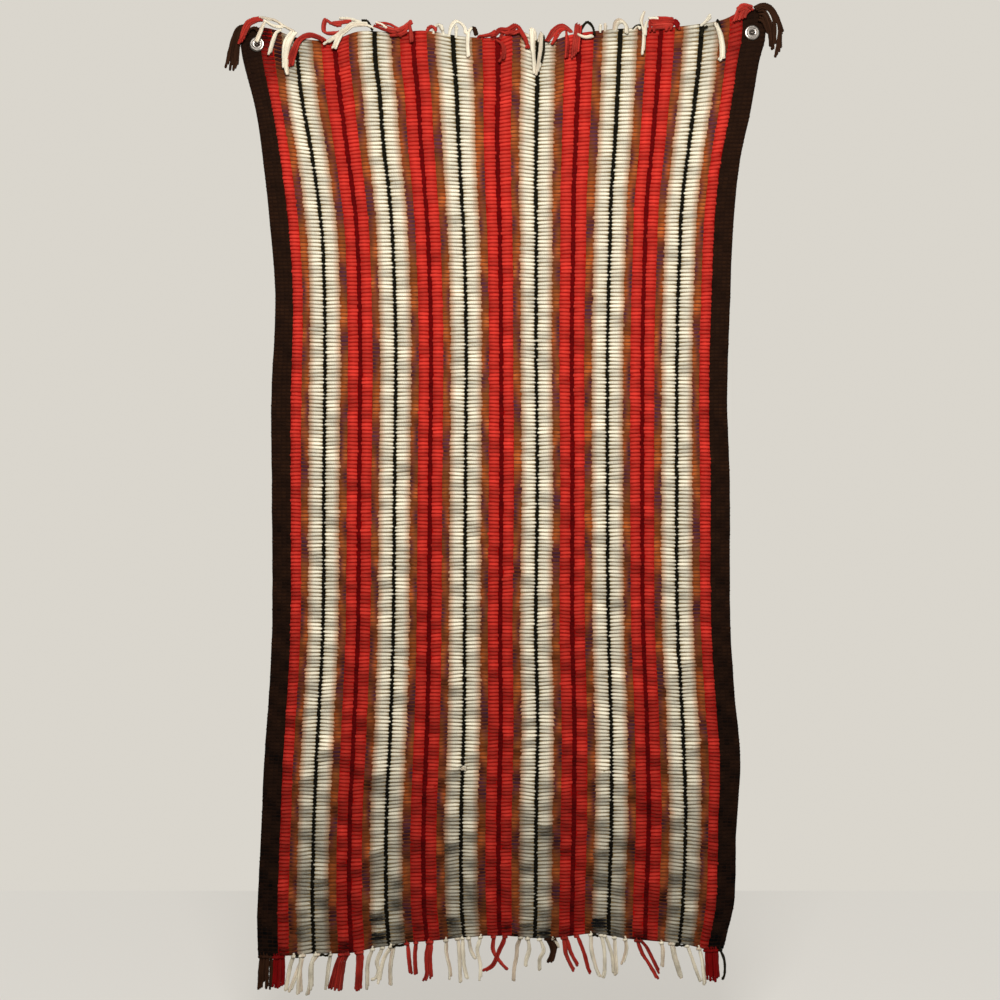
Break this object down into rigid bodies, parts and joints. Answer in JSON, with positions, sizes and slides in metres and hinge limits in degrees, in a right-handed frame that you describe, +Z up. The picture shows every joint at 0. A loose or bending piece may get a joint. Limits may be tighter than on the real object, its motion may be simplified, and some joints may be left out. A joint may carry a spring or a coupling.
{
  "type": "striped crochet afghan hung from dished discs",
  "caption": "Long striped crochet afghan with dark edgings and yarn fringe at both ends, hanging flat by its top corners from dished metal discs on headed pins.",
  "frame": {"origin": "on the wall plane, midway between the two pins that hold the top corners", "axes": "+Z up along the stripes, +X to the right as the front is seen, -Y out of the wall towards the viewer"},
  "size_m": [1.1343, 0.0194, 1.9928],
  "materials": {
    "striped_yarn": "soft matte worsted yarn in crochet rows",
    "brown_yarn": "soft matte dark brown worsted yarn",
    "fringe_yarn": "loose plied worsted yarn ends",
    "white_yarn": "soft matte cream white worsted yarn",
    "red_yarn": "soft matte red worsted yarn",
    "variegated_yarn": "soft matte worsted yarn dyed in short runs of rust, orange, purple and olive",
    "black_yarn": "soft matte black worsted yarn",
    "maroon_yarn": "soft matte maroon worsted yarn",
    "disc_metal": "polished pressed metal, a little scuffed",
    "pin_metal": "dull steel"
  },
  "bodies": {
    "root": {"afghan_panel": "striped_yarn", "edging_left": "brown_yarn", "edging_right": "brown_yarn", "fringe_top": "fringe_yarn", "fringe_bottom": "fringe_yarn", "disc_left": "disc_metal", "pin_left": "pin_metal", "disc_right": "disc_metal", "pin_right": "pin_metal"}
  },
  "joints": []
}
